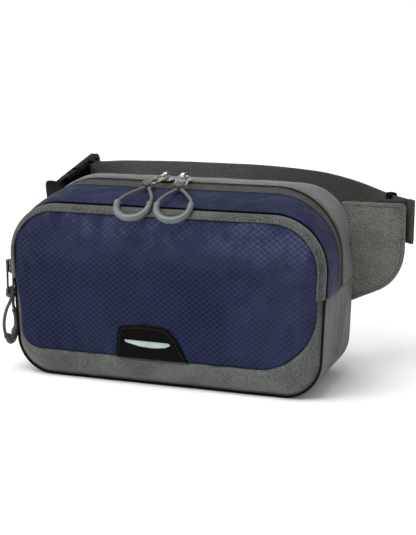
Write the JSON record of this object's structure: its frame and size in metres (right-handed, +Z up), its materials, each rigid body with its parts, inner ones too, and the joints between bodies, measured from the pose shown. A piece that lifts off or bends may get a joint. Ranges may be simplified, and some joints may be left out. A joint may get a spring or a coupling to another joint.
{
  "type": "waist pack",
  "caption": "Zipped waist pack with a main compartment, front pocket, hip wings, webbing belt with side-release buckle, corded zip pulls and a clip-light patch; no rope is shown.",
  "frame": {"origin": "centre of the flat base that the bag stands on, halfway between its front and back seams", "axes": "+Z up, -Y out of the front face, +Y towards the wearer, +X to the right as seen from the front"},
  "size_m": [0.3538, 0.2359, 0.172],
  "materials": {
    "ripstop_blue": "diagonal diamond ripstop with a soft sheen",
    "fabric_grey": "coated plain weave",
    "twill_grey": "coarse twill",
    "zip_tape": "woven tape",
    "zip_coil": "moulded coil",
    "webbing": "flat polyester webbing",
    "elastic_black": "woven elastic",
    "buckle_black": "satin acetal",
    "slider_metal": "bright plated",
    "cord_grey": "braided",
    "grip_grey": "satin moulded",
    "piping_black": "corded piping",
    "patch_black": "matt moulded, stitched",
    "patch_strip": "satin",
    "mesh_dark": "open spacer mesh",
    "foam": "foam",
    "lining": "plain lining"
  },
  "bodies": {
    "bag": {"back_foam": "foam", "back_panel_mesh": "mesh_dark", "belt_tail": "webbing", "belt_webbing": "webbing", "bottom_gusset": "fabric_grey", "buckle_socket": "buckle_black", "divider_gusset": "ripstop_blue", "front_panel_base": "fabric_grey", "front_panel_blue": "ripstop_blue", "front_piping": "piping_black", "inner_divider": "lining", "light_patch": "patch_black", "light_patch_strip": "patch_strip", "main_zip_coil": "zip_coil", "main_zip_front_tape": "zip_tape", "main_zip_rear_tape": "zip_tape", "pocket_top_band": "fabric_grey", "pocket_zip_coil": "zip_coil", "rear_gusset": "fabric_grey", "wing_left_foam": "foam", "wing_left_lining": "mesh_dark", "wing_left_outer": "twill_grey", "wing_loop_left": "webbing", "wing_right_foam": "foam", "wing_right_lining": "mesh_dark", "wing_right_outer": "twill_grey"},
    "main_slider_left": {"main_slider_left": "slider_metal"},
    "main_slider_right": {"main_slider_right": "slider_metal"},
    "pocket_slider": {"pocket_slider": "slider_metal"},
    "main_pull_left": {"main_pull_left_cord": "cord_grey", "main_pull_left_grip": "grip_grey", "main_pull_left_ring": "slider_metal"},
    "main_pull_right": {"main_pull_right_cord": "cord_grey", "main_pull_right_grip": "grip_grey", "main_pull_right_ring": "slider_metal"},
    "pocket_pull": {"pocket_pull_cord": "cord_grey", "pocket_pull_grip": "grip_grey", "pocket_pull_ring": "slider_metal"},
    "buckle_plug": {"buckle_plug": "buckle_black", "belt_lead": "webbing"},
    "buckle_prong_upper": {"buckle_prong_upper": "buckle_black"},
    "buckle_prong_lower": {"buckle_prong_lower": "buckle_black"},
    "belt_keeper": {"belt_keeper": "elastic_black"}
  },
  "joints": [
    {"name": "main_slider_left_slide", "type": "slide", "parent": "bag", "child": "main_slider_left", "axis": [-1, 0, 0], "range_m": [0, 0.058]},
    {"name": "main_slider_right_slide", "type": "slide", "parent": "bag", "child": "main_slider_right", "axis": [1, 0, 0], "range_m": [0, 0.076]},
    {"name": "pocket_slider_slide", "type": "slide", "parent": "bag", "child": "pocket_slider", "axis": [-0.0376, 0, 0.9993], "range_m": [0, 0.011]},
    {"name": "main_pull_left_swing", "type": "hinge", "parent": "main_slider_left", "child": "main_pull_left", "pos_m": [-0.017, 0.005, 0.169], "axis": [-0.9336, 0.3584, 0], "range_deg": [0, 150]},
    {"name": "main_pull_right_swing", "type": "hinge", "parent": "main_slider_right", "child": "main_pull_right", "pos_m": [-0.001, 0.005, 0.169], "axis": [-0.9778, -0.2096, 0], "range_deg": [0, 150]},
    {"name": "pocket_pull_swing", "type": "hinge", "parent": "pocket_slider", "child": "pocket_pull", "pos_m": [-0.14235, -0.0447, 0.09183], "axis": [0, 1, 0], "range_deg": [0, 150]},
    {"name": "buckle_release", "type": "slide", "parent": "bag", "child": "buckle_plug", "axis": [0.1146, 0.9458, 0.3038], "range_m": [0, 0.03], "deforming": ["belt_lead", "buckle_prong_upper", "buckle_prong_lower"]},
    {"name": "buckle_prong_upper_squeeze", "type": "hinge", "parent": "buckle_plug", "child": "buckle_prong_upper", "pos_m": [-0.15577, 0.13086, 0.14984], "axis": [0.9927, -0.1203, 0], "range_deg": [0, 8], "stiffness_Nm_per_rad": 2},
    {"name": "buckle_prong_lower_squeeze", "type": "hinge", "parent": "buckle_plug", "child": "buckle_prong_lower", "pos_m": [-0.15482, 0.1387, 0.12507], "axis": [-0.9927, 0.1203, 0], "range_deg": [0, 8], "stiffness_Nm_per_rad": 2},
    {"name": "belt_keeper_slide", "type": "slide", "parent": "bag", "child": "belt_keeper", "axis": [-0.6637, 0.748, 0], "range_m": [-0.018, 0.012]}
  ]
}
